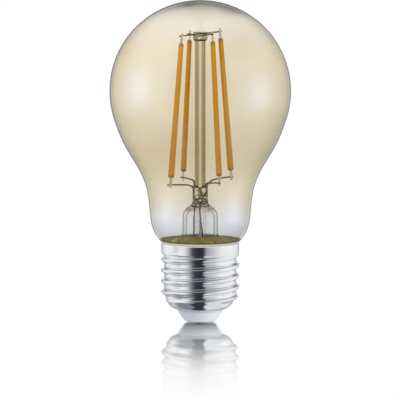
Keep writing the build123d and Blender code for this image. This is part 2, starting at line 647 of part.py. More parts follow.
# solder: one cone per pin on the board's top, one on the board's underside per outer lead, one for the neutral wire
joints = []
for x, y in can_pins + coil_pins + [fuse_pin]:
    j = Pos(x, y, top) * Cone(0.75, 0.32, 0.6, align=(Align.CENTER, Align.CENTER, Align.MIN))
    joints.append(j - rod((x, y, 16.2), (x, y, 19.75), PIN_R))
for (x, y), tail in zip(lead_holes, (tail_l, tail_r)):
    j = Pos(x, y, BOARD_Z - 0.55) * Cone(0.3, 0.55, 0.55, align=(Align.CENTER, Align.CENTER, Align.MIN))
    joints.append(j - tail)
pad = Pos(neutral_xy[0], neutral_xy[1], top) * Cone(0.8, 0.35, 0.55, align=(Align.CENTER, Align.CENTER, Align.MIN))
joints.append(pad - neutral)
keep("neutral_wire", neutral)
keep("solder_joints", *joints)

# the neutral wire runs through the cement and touches the skirt's inside
parts["basing_cement"] = keep("basing_cement", parts["basing_cement"] - neutral)

for name, shape in parts.items():
    export_step(shape, f"parts/{name}.step")
print(len(parts), "nodes")
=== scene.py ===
import json
import math

import bpy
import numpy as np
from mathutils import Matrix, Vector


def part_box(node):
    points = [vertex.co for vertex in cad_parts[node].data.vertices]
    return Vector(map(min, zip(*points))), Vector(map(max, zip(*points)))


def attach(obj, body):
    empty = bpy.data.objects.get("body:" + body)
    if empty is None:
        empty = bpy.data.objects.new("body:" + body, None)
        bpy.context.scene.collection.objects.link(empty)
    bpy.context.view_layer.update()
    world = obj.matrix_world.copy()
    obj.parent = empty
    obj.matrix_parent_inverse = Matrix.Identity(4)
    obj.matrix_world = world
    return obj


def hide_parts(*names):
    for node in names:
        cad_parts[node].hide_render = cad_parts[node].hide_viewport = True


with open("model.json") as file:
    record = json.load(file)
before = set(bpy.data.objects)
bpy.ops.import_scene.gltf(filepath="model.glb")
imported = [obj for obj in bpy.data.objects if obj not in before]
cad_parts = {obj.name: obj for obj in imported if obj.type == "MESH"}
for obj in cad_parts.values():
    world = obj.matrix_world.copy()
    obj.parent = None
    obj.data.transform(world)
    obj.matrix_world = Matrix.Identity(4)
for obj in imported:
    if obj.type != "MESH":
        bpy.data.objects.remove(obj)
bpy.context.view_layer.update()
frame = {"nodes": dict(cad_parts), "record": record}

nodes = frame["nodes"]
MM = 0.001

# ------------------------------------------------------------------ node helpers


class Tree:
    """Small wrapper that builds shader nodes as expressions."""

    def __init__(self, tree):
        self.t = tree
        tree.nodes.clear()

    def node(self, kind, **props):
        n = self.t.nodes.new(kind)
        for k, v in props.items():
            setattr(n, k, v)
        return n

    def put(self, socket, value):
        if isinstance(value, bpy.types.NodeSocket):
            self.t.links.new(value, socket)
        elif isinstance(value, (tuple, list)) and hasattr(socket.default_value, "__len__"):
            want = len(socket.default_value)
            value = tuple(value)
            if want == 4 and len(value) == 3:
                value = value + (1.0,)
            socket.default_value = value
        else:
            socket.default_value = value

    def math(self, op, a, b=0.0, c=0.0, clamp=False):
        n = self.node("ShaderNodeMath", operation=op, use_clamp=clamp)
        for i, v in enumerate((a, b, c)):
            self.put(n.inputs[i], v)
        return n.outputs[0]

    def add(self, a, b):
        return self.math("ADD", a, b)

    def sub(self, a, b):
        return self.math("SUBTRACT", a, b)

    def mul(self, a, b):
        return self.math("MULTIPLY", a, b)

    def smooth(self, x, lo, hi, a=0.0, b=1.0):
        n = self.node("ShaderNodeMapRange", interpolation_type="SMOOTHSTEP")
        self.put(n.inputs["Value"], x)
        n.inputs["From Min"].default_value = lo
        n.inputs["From Max"].default_value = hi
        n.inputs["To Min"].default_value = a
        n.inputs["To Max"].default_value = b
        return n.outputs[0]

    def line(self, x, lo, hi, a=0.0, b=1.0):
        n = self.node("ShaderNodeMapRange")
        self.put(n.inputs["Value"], x)
        n.inputs["From Min"].default_value = lo
        n.inputs["From Max"].default_value = hi
        n.inputs["To Min"].default_value = a
        n.inputs["To Max"].default_value = b
        return n.outputs[0]

    def mix(self, fac, a, b, blend="MIX"):
        n = self.node("ShaderNodeMix", data_type="RGBA", blend_type=blend)
        self.put(n.inputs[0], fac)
        self.put(n.inputs[6], a)
        self.put(n.inputs[7], b)
        return n.outputs[2]

    def ramp(self, fac, stops, mode="LINEAR"):
        n = self.node("ShaderNodeValToRGB")
        r = n.color_ramp
        r.interpolation = mode
        stops = sorted(stops)
        while len(r.elements) > 1:
            r.elements.remove(r.elements[-1])
        r.elements[0].position = stops[0][0]
        r.elements[0].color = rgba(stops[0][1])
        for p, c in stops[1:]:
            e = r.elements.new(p)
            e.color = rgba(c)
        self.put(n.inputs[0], fac)
        return n.outputs[0]

    def split(self, vec):
        n = self.node("ShaderNodeSeparateXYZ")
        self.put(n.inputs[0], vec)
        return n.outputs

    def noise(self, scale, detail=3.0, vec=None, rough=0.5):
        n = self.node("ShaderNodeTexNoise")
        n.inputs["Scale"].default_value = scale
        n.inputs["Detail"].default_value = detail
        n.inputs["Roughness"].default_value = rough
        if vec is None:
            vec = self.place()
        self.put(n.inputs["Vector"], vec)
        return n.outputs[0]

    def place(self):
        return self.node("ShaderNodeTexCoord").outputs["Object"]

    def bump(self, height, strength, distance=0.00005):
        n = self.node("ShaderNodeBump")
        n.inputs["Strength"].default_value = strength
        n.inputs["Distance"].default_value = distance
        self.put(n.inputs["Height"], height)
        return n.outputs[0]

    def out(self, shader, world=False):
        n = self.node("ShaderNodeOutputWorld" if world else "ShaderNodeOutputMaterial")
        self.put(n.inputs["Surface"], shader)


def rgba(c):
    if isinstance(c, (int, float)):
        return (c, c, c, 1.0)
    return tuple(c) if len(c) == 4 else tuple(c) + (1.0,)


def lin(r, g, b):
    """8-bit display colour to linear."""
    out = []
    for v in (r, g, b):
        v /= 255.0
        out.append(v / 12.92 if v <= 0.04045 else ((v + 0.055) / 1.055) ** 2.4)
    return tuple(out)


def new_material(name):
    m = bpy.data.materials.new(name)
    m.use_nodes = True
    return m, Tree(m.node_tree)


def principled(t, base, rough=0.4, metal=0.0, normal=None, coat=0.0, **more):
    n = t.node("ShaderNodeBsdfPrincipled")
    t.put(n.inputs["Base Color"], base)
    t.put(n.inputs["Roughness"], rough)
    t.put(n.inputs["Metallic"], metal)
    if coat:
        n.inputs["Coat Weight"].default_value = coat
        n.inputs["Coat Roughness"].default_value = 0.08
    if normal is not None:
        t.put(n.inputs["Normal"], normal)
    for k, v in more.items():
        t.put(n.inputs[k], v)
    return n.outputs[0]


def plain(name, base, rough, metal=0.0, scale=900.0, vary=0.12, bumpy=0.12, coat=0.0):
    """Everyday surface: base colour broken up by fine noise, with a faint bump."""
    m, t = new_material(name)
    grain = t.noise(scale, 4.0)
    dark = tuple(v * (1 - vary) for v in base)
    light = tuple(min(1.0, v * (1 + vary)) for v in base)
    col = t.mix(t.smooth(grain, 0.3, 0.7), dark, light)
    r = t.line(grain, 0.2, 0.8, max(0.02, rough - 0.06), min(1.0, rough + 0.08))
    t.out(principled(t, col, r, metal, t.bump(grain, bumpy), coat))
    return m


# ------------------------------------------------------------------ studio light by direction
# White all round to the camera. Mirrors and glass see a studio: a dark panel on the viewer's
# side, white cards at left and right, a dim ceiling.
LEFT_CARD = (2.2, 2.6, 3.9)
RIGHT_CARD = (1.5, 1.8, 2.6)
studio = bpy.data.node_groups.new("studio", "ShaderNodeTree")
studio.interface.new_socket("Direction", in_out="INPUT", socket_type="NodeSocketVector")
studio.interface.new_socket("Color", in_out="OUTPUT", socket_type="NodeSocketColor")
studio.interface.new_socket("Glass", in_out="OUTPUT", socket_type="NodeSocketColor")
g = Tree(studio)
g_in = g.node("NodeGroupInput")
g_out = g.node("NodeGroupOutput")
norm = g.node("ShaderNodeVectorMath", operation="NORMALIZE")
g.put(norm.inputs[0], g_in.outputs[0])
dx, dy, dz = g.split(norm.outputs[0])
azim = g.math("ARCTAN2", dx, g.mul(dy, -1.0))          # 0 towards the viewer, + to the right
azim = g.mul(azim, 180.0 / math.pi)
elev = g.mul(g.math("ARCSINE", dz), 180.0 / math.pi)


def az(deg):
    return (deg + 180.0) / 360.0


def glow_at(az0, el0, wide, tall):
    """Soft round card: bright in its middle, with no edge."""
    a = g.math("DIVIDE", g.sub(azim, az0), wide)
    b = g.math("DIVIDE", g.sub(elev, el0), tall)
    return g.math("EXPONENT", g.mul(g.add(g.mul(a, a), g.mul(b, b)), -1.0))


around = g.ramp(
    g.line(azim, -180, 180),
    [
        (az(-180), (0.32, 0.33, 0.33)),
        (az(-152), (0.50, 0.51, 0.52)),
        (az(-140), (0.80, 0.81, 0.82)),
        (az(-126), (0.90, 0.91, 0.93)),
        (az(-91), (1.04, 1.04, 1.05)),
        (az(-61), (1.08, 1.08, 1.09)),
        (az(-47), (0.86, 0.88, 0.90)),
        (az(-39), (0.62, 0.65, 0.67)),
        (az(-30), (0.28, 0.30, 0.32)),
        (az(-24), (0.10, 0.112, 0.125)),
        (az(-16), (0.044, 0.051, 0.058)),
        (az(-4), (0.028, 0.033, 0.039)),
        (az(8), (0.030, 0.036, 0.042)),
        (az(13), (0.12, 0.13, 0.14)),
        (az(19), (0.38, 0.41, 0.43)),
        (az(26), (0.47, 0.49, 0.52)),
        (az(45), (0.67, 0.68, 0.69)),
        (az(68), (0.945, 0.95, 0.965)),
        (az(100), (1.02, 1.02, 1.03)),
        (az(133), (0.98, 0.99, 1.00)),
        (az(148), (0.70, 0.71, 0.72)),
        (az(180), (0.32, 0.33, 0.33)),
    ],
)
sky = g.ramp(g.line(elev, -90, 90), [((25 + 90) / 180, 0.0), ((52 + 90) / 180, 1.0)], "EASE")
behind = g.smooth(g.math("ABSOLUTE", azim), 110, 150)
sky = g.math("MAXIMUM", sky, g.mul(behind, g.smooth(elev, 8, 20)))
ceiling = g.ramp(g.line(elev, 0, 90), [(0.45, (0.17, 0.17, 0.155)), (0.8, (0.10, 0.10, 0.09)), (1.0, (0.14, 0.14, 0.13))])
mirror = g.mix(sky, around, g.mix(0.6, ceiling, (0.40, 0.41, 0.43)))
# the floor well below the horizon is white, except where the dark panel stands
down = g.smooth(elev, -24, -52)
under = g.smooth(dy, 0.10, 0.55)
strip = g.math("ABSOLUTE", g.add(dx, g.sub(0.05, g.mul(under, 0.035))))
panel = g.smooth(g.add(strip, g.mul(under, 0.085)), 0.14, 0.26)
panel = g.math("MAXIMUM", panel, g.smooth(dy, 0.48, 0.66))
floor_tone = g.mix(g.smooth(dx, -0.30, 0.26), (0.25, 0.26, 0.28), (0.76, 0.77, 0.79))
floor_tone = g.mix(g.smooth(dy, 0.48, 0.66), floor_tone, (0.46, 0.47, 0.48))
mirror = g.mix(down, mirror, g.mix(panel, (0.035, 0.040, 0.050), floor_tone))
mirror = g.mix(g.mul(glow_at(-80.0, -34.0, 26.0, 12.0), 0.72), mirror, (0.18, 0.19, 0.21))
mirror = g.mix(g.mul(glow_at(-76.0, -4.0, 15.0, 9.0), 0.50), mirror, (0.42, 0.43, 0.45))
# straight behind, the polished floor mirrors the white backdrop
patch = g.mul(g.smooth(g.math("ABSOLUTE", azim), 164, 169), g.mul(g.smooth(elev, -1.0, 0.6), g.smooth(elev, 22, 17)))
metal_sees = g.mix(patch, mirror, (1.0, 1.0, 1.0))


# the envelope sees the same room, darker straight behind it, with a soft card on each side
glass_around = g.ramp(
    g.line(azim, -180, 180),
    [
        (az(-180), (0.04, 0.045, 0.04)),
        (az(-168), (0.05, 0.055, 0.05)),
        (az(-163), (0.09, 0.095, 0.09)),
        (az(-156), (0.18, 0.18, 0.17)),
        (az(-150), (0.36, 0.36, 0.35)),
        (az(-138), (0.62, 0.62, 0.60)),
        (az(-126), (0.80, 0.80, 0.82)),
        (az(-91), (0.98, 0.98, 1.05)),
        (az(-47), (0.86, 0.88, 0.90)),
        (az(-24), (0.10, 0.112, 0.125)),
        (az(8), (0.034, 0.039, 0.050)),
        (az(45), (0.60, 0.62, 0.66)),
        (az(68), (0.80, 0.80, 0.84)),
        (az(100), (0.75, 0.76, 0.80)),
        (az(126), (0.52, 0.52, 0.52)),
        (az(138), (0.46, 0.46, 0.45)),
        (az(150), (0.40, 0.40, 0.385)),
        (az(158), (0.33, 0.33, 0.32)),
        (az(165), (0.22, 0.22, 0.21)),
        (az(172), (0.12, 0.12, 0.115)),
        (az(180), (0.04, 0.045, 0.04)),
    ],
)
lit = g.mix(sky, glass_around, ceiling)
lit = g.mix(g.mul(down, panel), lit, (0.46, 0.47, 0.49))
lit = g.mix(g.mul(glow_at(-85.0, 50.0, 48.0, 26.0), 0.85), lit, (1.25, 1.20, 1.30))
lit = g.mix(g.mul(glow_at(-91.0, 1.0, 24.0, 20.0), 0.92), lit, LEFT_CARD)
lit = g.mix(g.mul(glow_at(81.0, -5.0, 18.0, 16.0), 0.85), lit, RIGHT_CARD)
# light bent by the clear glass inside: bright only close to straight through
back = g.math("ABSOLUTE", g.math("ARCTAN2", dx, dy))
back = g.mul(back, 180.0 / math.pi)
bent = g.ramp(
    g.line(back, 0, 180),
    [
        (0.0, (0.98, 0.98, 0.98)),
        (7 / 180, (0.96, 0.96, 0.94)),
        (14 / 180, (0.50, 0.46, 0.34)),
        (50 / 180, (0.44, 0.40, 0.27)),
        (80 / 180, (0.60, 0.57, 0.45)),
        (120 / 180, (0.52, 0.50, 0.42)),
        (1.0, (0.16, 0.15, 0.11)),
    ],
)
path = g.node("ShaderNodeLightPath")
soft_light = g.mix(g.smooth(dz, -0.3, 0.9), (1.08, 1.08, 1.08), (0.92, 0.92, 0.92))
col = g.mix(path.outputs["Is Diffuse Ray"], metal_sees, soft_light)
col = g.mix(path.outputs["Is Transmission Ray"], col, bent)
col = g.mix(path.outputs["Is Camera Ray"], col, (1.0, 1.0, 1.0))
g.put(g_out.inputs[0], col)
g.put(g_out.inputs[1], lit)

world = bpy.data.worlds.new("studio_world")
bpy.context.scene.world = world
world.use_nodes = True
w = Tree(world.node_tree)
grp = w.node("ShaderNodeGroup", node_tree=studio)
w.put(grp.inputs[0], w.node("ShaderNodeTexCoord").outputs["Generated"])
bg = w.node("ShaderNodeBackground")
w.put(bg.inputs["Color"], grp.outputs[0])
w.out(bg.outputs[0], world=True)

# ------------------------------------------------------------------ materials
mats = {}


def facing(t):
    """Cosine between the surface and the ray, from either side."""
    geo = t.node("ShaderNodeNewGeometry")
    dot = t.node("ShaderNodeVectorMath", operation="DOT_PRODUCT")
    t.put(dot.inputs[0], geo.outputs["Normal"])
    t.put(dot.inputs[1], geo.outputs["Incoming"])
    return t.math("ABSOLUTE", dot.outputs["Value"])


def thin_glass(t, tint_and_shade, strength=1.0, f0=0.04, length_power=1.0, calm=0.0):
    """One face of a thin glass wall: tinted straight-through light plus a clean reflection."""
    c = facing(t)
    inside = t.math("SQRT", t.sub(1.0, t.math("DIVIDE", t.sub(1.0, t.mul(c, c)), 2.25)))
    length = t.math("POWER", t.math("DIVIDE", 1.0, inside), length_power)
    one = t.sub(1.0, c)
    rise = t.mul(t.mul(1.0 - f0, t.math("POWER", one, 5.0)), t.sub(1.0, calm))
    share = t.mul(t.add(f0, rise), strength)
    keep = t.sub(1.0, share)
    r = t.node("ShaderNodeSeparateColor")
    t.put(r.inputs[0], tint_and_shade)
    comb = t.node("ShaderNodeCombineColor")
    for i in range(3):
        t.put(comb.inputs[i], t.mul(keep, t.math("POWER", r.outputs[i], length)))
    clear = t.node("ShaderNodeBsdfTransparent")
    t.put(clear.inputs[0], comb.outputs[0])
    geo = t.node("ShaderNodeNewGeometry")
    back = t.node("ShaderNodeVectorMath", operation="SCALE")
    t.put(back.inputs[0], geo.outputs["Incoming"])
    back.inputs["Scale"].default_value = -1.0
    bounce = t.node("ShaderNodeVectorMath", operation="REFLECT")
    t.put(bounce.inputs[0], back.outputs[0])
    t.put(bounce.inputs[1], geo.outputs["Normal"])
    room = t.node("ShaderNodeGroup", node_tree=studio)
    t.put(room.inputs[0], bounce.outputs[0])
    shine = t.node("ShaderNodeEmission")
    t.put(shine.inputs["Color"], room.outputs[1])
    t.put(shine.inputs["Strength"], share)
    both = t.node("ShaderNodeAddShader")
    t.put(both.inputs[0], clear.outputs[0])
    t.put(both.inputs[1], shine.outputs[0])
    return both.outputs[0]


def height(t):
    """Height above the contact, in millimetres."""
    return t.mul(t.split(t.place())[2], 1000.0)


# amber envelope: the tint fades out in the neck, the sealed rim shows the cement behind it
m, t = new_material("amber_glass")
z = height(t)
# the tint by height is the amber film fading out in the neck, with painted light on it: the clear neck turns darker
# blue-grey towards the cap as painted shade, and the very top turns darker grey as a painted reflection of the dark
# ceiling
tint_and_shade = t.ramp(
    t.line(z, 24, 108),
    [
        ((28.0 - 24) / 84, (0.875, 0.878, 0.870)),
        ((30.5 - 24) / 84, (0.890, 0.893, 0.900)),
        ((32.5 - 24) / 84, (0.917, 0.917, 0.927)),
        ((35.8 - 24) / 84, (0.932, 0.930, 0.920)),
        ((39.2 - 24) / 84, (0.928, 0.910, 0.858)),
        ((44.0 - 24) / 84, (0.936, 0.908, 0.838)),
        ((50.0 - 24) / 84, (0.924, 0.893, 0.815)),
        ((58.0 - 24) / 84, (0.918, 0.887, 0.812)),
        ((66.0 - 24) / 84, (0.928, 0.897, 0.817)),
        ((74.0 - 24) / 84, (0.949, 0.920, 0.850)),
        ((82.0 - 24) / 84, (0.957, 0.927, 0.864)),
        ((90.0 - 24) / 84, (0.977, 0.945, 0.872)),
        ((96.0 - 24) / 84, (0.988, 0.963, 0.918)),
        ((100.0 - 24) / 84, (0.996, 0.985, 0.945)),
        ((103.0 - 24) / 84, (0.985, 0.975, 0.938)),
        ((104.8 - 24) / 84, (0.925, 0.915, 0.880)),
        ((106.2 - 24) / 84, (0.850, 0.848, 0.815)),
        ((107.5 - 24) / 84, (0.780, 0.780, 0.745)),
    ],
)
# the right side is a little darker
side = t.split(t.place())[0]
tint_and_shade = t.mix(t.smooth(side, -0.012, 0.022), tint_and_shade, t.mix(1.0, tint_and_shade, (0.984, 0.986, 0.987), "MULTIPLY"))
# painted reflection: a darker patch near the top on the right, and dark swirled marks around the very top, where the
# globe mirrors the dark ceiling
painted_crest_reflection = t.mul(t.smooth(side, 0.004, 0.012), t.smooth(z, 101.8, 104.6))
tint_and_shade = t.mix(t.mul(painted_crest_reflection, 0.9), tint_and_shade, t.mix(1.0, tint_and_shade, (0.885, 0.885, 0.88), "MULTIPLY"))
painted_swirl_reflection = t.mul(t.smooth(t.noise(150.0, 2.0), 0.56, 0.66), t.smooth(z, 104.4, 105.4))
tint_and_shade = t.mix(painted_swirl_reflection, tint_and_shade, t.mix(1.0, tint_and_shade, (0.86, 0.86, 0.85), "MULTIPLY"))
film = t.noise(38.0, 2.0)
tint_and_shade = t.mix(t.smooth(film, 0.35, 0.65, 0.0, 0.12), tint_and_shade, t.mix(1.0, tint_and_shade, (0.93, 0.92, 0.90), "MULTIPLY"))
inner_face = t.node("ShaderNodeAttribute", attribute_name="inner_face").outputs["Fac"]
wall = thin_glass(t, tint_and_shade, t.smooth(z, 28.0, 31.5, 0.30, 1.0), calm=inner_face)
seal = t.noise(420.0, 3.0)
sealed = t.mix(t.smooth(seal, 0.35, 0.7), lin(112, 105, 52), lin(136, 126, 66))
sealed = t.mix(t.smooth(z, 27.60, 27.30), sealed, lin(200, 195, 186))
olive = principled(t, sealed, 0.45, **{"Specular IOR Level": 0.12})
mx = t.node("ShaderNodeMixShader")
t.put(mx.inputs[0], t.smooth(z, 28.05, 27.45))
t.put(mx.inputs[1], wall)
t.put(mx.inputs[2], olive)
t.out(mx.outputs[0])
m.cycles.emission_sampling = "NONE"
mats["amber_glass"] = m


def tube_wall(t, edge=(0.40, 0.40, 0.34)):
    """Thin clear tube: light passes straight through, and the wall darkens where it turns away."""
    tone = t.ramp(
        facing(t),
        [(0.0, edge), (0.16, tuple(v * 1.25 for v in edge)), (0.36, (0.88, 0.88, 0.86)), (0.55, (0.975, 0.975, 0.970)), (1.0, (0.988, 0.988, 0.985))],
    )
    return thin_glass(t, tone, 0.55, 0.035, 0.0)


def clear_glass(name, color, rough=0.0, ripple=0.0):
    m, t = new_material(name)
    n = t.node("ShaderNodeBsdfGlass")
    n.inputs["IOR"].default_value = 1.5
    streak = t.noise(260.0, 3.0)
    col = t.mix(t.smooth(streak, 0.3, 0.7), tuple(v * 0.985 for v in color), color)
    t.put(n.inputs["Color"], col)
    t.put(n.inputs["Roughness"], rough)
    if ripple:
        t.put(n.inputs["Normal"], t.bump(t.noise(700.0, 2.0), ripple, 0.0003))
    return m, t, n.outputs[0]


# stem: clear tube, rippled pinch, and a flared floor that shows the cement under it, with painted yellow glints on the
# cement
m, t, glass = clear_glass("stem_glass", (0.985, 0.985, 0.972), 0.0, 0.9)
pos = t.split(t.place())
z = t.mul(pos[2], 1000.0)
rad = t.mul(t.math("SQRT", t.add(t.mul(pos[0], pos[0]), t.mul(pos[1], pos[1]))), 1000.0)
clot = t.noise(330.0, 4.0)
# painted highlight: light yellow glints on the cement seen through the flare
glint = t.smooth(t.noise(160.0, 1.0), 0.60, 0.68)
khaki_with_glints = t.mix(t.smooth(clot, 0.35, 0.7), lin(138, 130, 58), lin(172, 159, 72))
khaki_with_glints = t.mix(glint, khaki_with_glints, lin(240, 222, 140))
floor_look = principled(t, khaki_with_glints, 0.45, **{"Specular IOR Level": 0.12})
under = t.math("MAXIMUM", t.mul(t.smooth(rad, 6.3, 7.6), t.smooth(z, 28.3, 27.9)), t.mul(0.85, t.smooth(z, 29.4, 28.5)))
wob = t.mul(t.sub(t.noise(420.0, 2.0), 0.5), 1.1)
px = t.add(t.mul(pos[0], 1000.0), wob)
pz = t.add(z, t.mul(t.sub(t.noise(510.0, 1.0), 0.5), 1.0))


def lobe(cx, cz, a, b):
    """Painted dark refraction line where the outline of one pressed lobe runs."""
    u = t.math("DIVIDE", t.sub(px, cx), a)
    v = t.math("DIVIDE", t.sub(pz, cz), b)
    d = t.math("SQRT", t.add(t.mul(u, u), t.mul(v, v)))
    return t.smooth(t.math("ABSOLUTE", t.sub(d, 1.0)), 0.26, 0.06)


# painted shade: dark lines and specks where the pressed pinch glass bends the light, painted in place of its refraction
painted_refraction_lines = t.math("MAXIMUM", lobe(-1.20, 43.5, 1.15, 2.5), lobe(1.25, 44.3, 1.10, 1.8))
painted_refraction_lines = t.math("MAXIMUM", painted_refraction_lines, lobe(0.2, 40.6, 2.3, 1.0))
painted_refraction_lines = t.math("MAXIMUM", painted_refraction_lines, t.mul(0.8, t.smooth(t.noise(900.0, 2.0), 0.58, 0.68)))
painted_refraction_lines = t.mul(t.mul(painted_refraction_lines, 0.75), t.mul(t.smooth(z, 38.8, 39.8), t.smooth(z, 46.05, 45.8)))
blown = t.node("ShaderNodeMixShader")
t.put(blown.inputs[0], t.smooth(z, 38.2, 37.2))
painted_dark_line = t.node("ShaderNodeMixShader")
t.put(painted_dark_line.inputs[0], painted_refraction_lines)
t.put(painted_dark_line.inputs[1], glass)
t.put(painted_dark_line.inputs[2], principled(t, lin(120, 106, 62), 0.4))
t.put(blown.inputs[1], painted_dark_line.outputs[0])
t.put(blown.inputs[2], tube_wall(t))
mx = t.node("ShaderNodeMixShader")
t.put(mx.inputs[0], under)
t.put(mx.inputs[1], blown.outputs[0])
t.put(mx.inputs[2], floor_look)
t.out(mx.outputs[0])
m.cycles.emission_sampling = "NONE"
mats["stem_glass"] = m

for key, colour, ripple in (
    ("exhaust_glass", (0.95, 0.96, 0.95), 0.0),
    ("column_glass", (0.97, 0.96, 0.93), 0.0),
    ("button_glass", (0.95, 0.94, 0.89), 1.0),
):
    m, t, glass = clear_glass(key, colour, 0.0, ripple)
    t.out(tube_wall(t, (0.45, 0.45, 0.40)) if key == "exhaust_glass" else glass)
    m.cycles.emission_sampling = "NONE"
    mats[key] = m

# bright nickel cap
m, t = new_material("nickel_cap")
drawn = t.noise(1400.0, 3.0)
cloud = t.noise(120.0, 2.0)
base = t.mix(t.smooth(cloud, 0.35, 0.65), (0.80, 0.81, 0.83), (0.88, 0.89, 0.905))
rough = t.line(drawn, 0.3, 0.7, 0.055, 0.095)
metal = principled(t, base, rough, 1.0, t.bump(t.noise(90.0, 2.0), 0.12, 0.0004))
mx = t.node("ShaderNodeMixShader")
t.put(mx.inputs[0], t.mul(t.smooth(height(t), 26.40, 26.60), 0.8))
t.put(mx.inputs[1], metal)
t.put(mx.inputs[2], principled(t, (0.74, 0.74, 0.73), 0.5))
t.out(mx.outputs[0])
mats["nickel_cap"] = m

# phosphor-filled silicone: browner and greyer at the two ends
m, t = new_material("phosphor")
gz = t.split(t.node("ShaderNodeTexCoord").outputs["Generated"])[2]
ends = t.math("MINIMUM", gz, t.sub(1.0, gz))
speck = t.noise(1500.0, 3.0)
body = t.mix(t.smooth(speck, 0.3, 0.7), (0.605, 0.278, 0.001), (0.665, 0.318, 0.002))
tip = lin(158, 122, 66)
colr = t.mix(t.smooth(ends, 0.035, 0.010), body, tip)
t.out(principled(t, colr, 0.5, 0.0, t.bump(t.noise(420.0, 2.0), 0.35, 0.0001), **{"Specular IOR Level": 0.10}))
mats["phosphor"] = m

m, t = new_material("grey_insulator")
gx = t.split(t.place())[0]
grain = t.noise(500.0, 3.0)
# painted light: the insulator is lighter on its right side, where the light falls, and darker on the left
painted_shade = t.mix(t.smooth(gx, -0.004, 0.007), lin(181, 190, 197), lin(224, 227, 230))
painted_shade = t.mix(t.smooth(grain, 0.3, 0.7, 0.0, 0.5), painted_shade, t.mix(1.0, painted_shade, (0.97, 0.97, 0.97), "MULTIPLY"))
t.out(principled(t, painted_shade, 0.34, 0.0, t.bump(grain, 0.05)))
mats["grey_insulator"] = m
mats["contact_metal"] = plain("contact_metal", (0.50, 0.51, 0.52), 0.5, 1.0)
mats["cement"] = plain("cement", lin(128, 116, 58), 0.55, scale=420.0, vary=0.25, bumpy=0.5)
mats["filament_strip"] = plain("filament_strip", (0.82, 0.80, 0.76), 0.35, scale=700.0, vary=0.05)
mats["filament_tab"] = plain("filament_tab", (0.70, 0.67, 0.62), 0.34, 1.0, vary=0.1)
mats["led_die"] = plain("led_die", (0.34, 0.42, 0.55), 0.15, scale=1200.0, vary=0.1, coat=0.5)
mats["nickel_wire"] = plain("nickel_wire", (0.165, 0.155, 0.135), 0.36, 1.0, scale=1600.0, vary=0.15)
mats["seal_wire"] = plain("seal_wire", (0.26, 0.15, 0.09), 0.42, 0.6, vary=0.2)
mats["copper_wire"] = plain("copper_wire", (0.17, 0.15, 0.12), 0.42, 0.8, vary=0.2)
mats["board"] = plain("board", (0.035, 0.16, 0.075), 0.35, scale=260.0, vary=0.15, bumpy=0.05, coat=0.3)
mats["radio_board"] = plain("radio_board", (0.03, 0.035, 0.045), 0.35, scale=260.0, coat=0.3)
mats["capacitor_can"] = plain("capacitor_can", (0.66, 0.67, 0.69), 0.30, 1.0, scale=600.0, vary=0.05)
mats["bung_rubber"] = plain("bung_rubber", (0.03, 0.03, 0.03), 0.70, bumpy=0.3)
mats["tinned_wire"] = plain("tinned_wire", (0.68, 0.68, 0.66), 0.28, 1.0)
mats["ferrite"] = plain("ferrite", (0.07, 0.07, 0.08), 0.55, scale=700.0, vary=0.2, bumpy=0.3)
mats["resistor_enamel"] = plain("resistor_enamel", (0.10, 0.24, 0.20), 0.28, vary=0.08, coat=0.4)
mats["shrink_tube"] = plain("shrink_tube", (0.02, 0.02, 0.022), 0.38, bumpy=0.2)
mats["live_insulation"] = plain("live_insulation", (0.48, 0.03, 0.025), 0.38, vary=0.06)
mats["antenna_jacket"] = plain("antenna_jacket", (0.74, 0.74, 0.72), 0.40, vary=0.04)
mats["black_epoxy"] = plain("black_epoxy", (0.022, 0.022, 0.025), 0.50, scale=1300.0, vary=0.2, bumpy=0.3)
mats["tinned_lead"] = plain("tinned_lead", (0.70, 0.70, 0.68), 0.25, 1.0)
mats["tan_ceramic"] = plain("tan_ceramic", (0.36, 0.24, 0.12), 0.45, vary=0.12)
mats["shield_metal"] = plain("shield_metal", (0.62, 0.63, 0.65), 0.30, 1.0, scale=800.0, vary=0.08)
mats["solder"] = plain("solder", (0.66, 0.67, 0.68), 0.20, 1.0, scale=700.0, vary=0.08, bumpy=0.2)

m, t = new_material("sleeve_film")
n = t.node("ShaderNodeBsdfPrincipled")
t.put(n.inputs["Base Color"], t.mix(t.smooth(t.noise(300.0), 0.3, 0.7), (0.80, 0.80, 0.76), (0.88, 0.88, 0.85)))
n.inputs["Roughness"].default_value = 0.2
n.inputs["Alpha"].default_value = 0.45
t.out(n.outputs[0])
mats["sleeve_film"] = m

# ------------------------------------------------------------------ finish every CAD node
slot_of = {s["node"]: s["material_slot"] for s in frame["record"]["subparts"]}
own_look = {
    "glass_stem": "stem_glass",
    "exhaust_tube": "exhaust_glass",
    "support_column": "column_glass",
    "column_button": "button_glass",
}
for name, obj in nodes.items():
    key = own_look.get(name) or slot_of[name]
    obj.data.materials.clear()
    obj.data.materials.append(mats[key])


# ------------------------------------------------------------------ mesh helpers
def build(name, verts, faces, material, smooth_angle=35.0):
    me = bpy.data.meshes.new(name)
    me.from_pydata([tuple(v) for v in verts], [], faces)
    me.update()
    me.polygons.foreach_set("use_smooth", [True] * len(me.polygons))
    me.set_sharp_from_angle(angle=math.radians(smooth_angle))
    me.materials.append(material)
    ob = bpy.data.objects.new(name, me)
    bpy.context.scene.collection.objects.link(ob)
    return ob


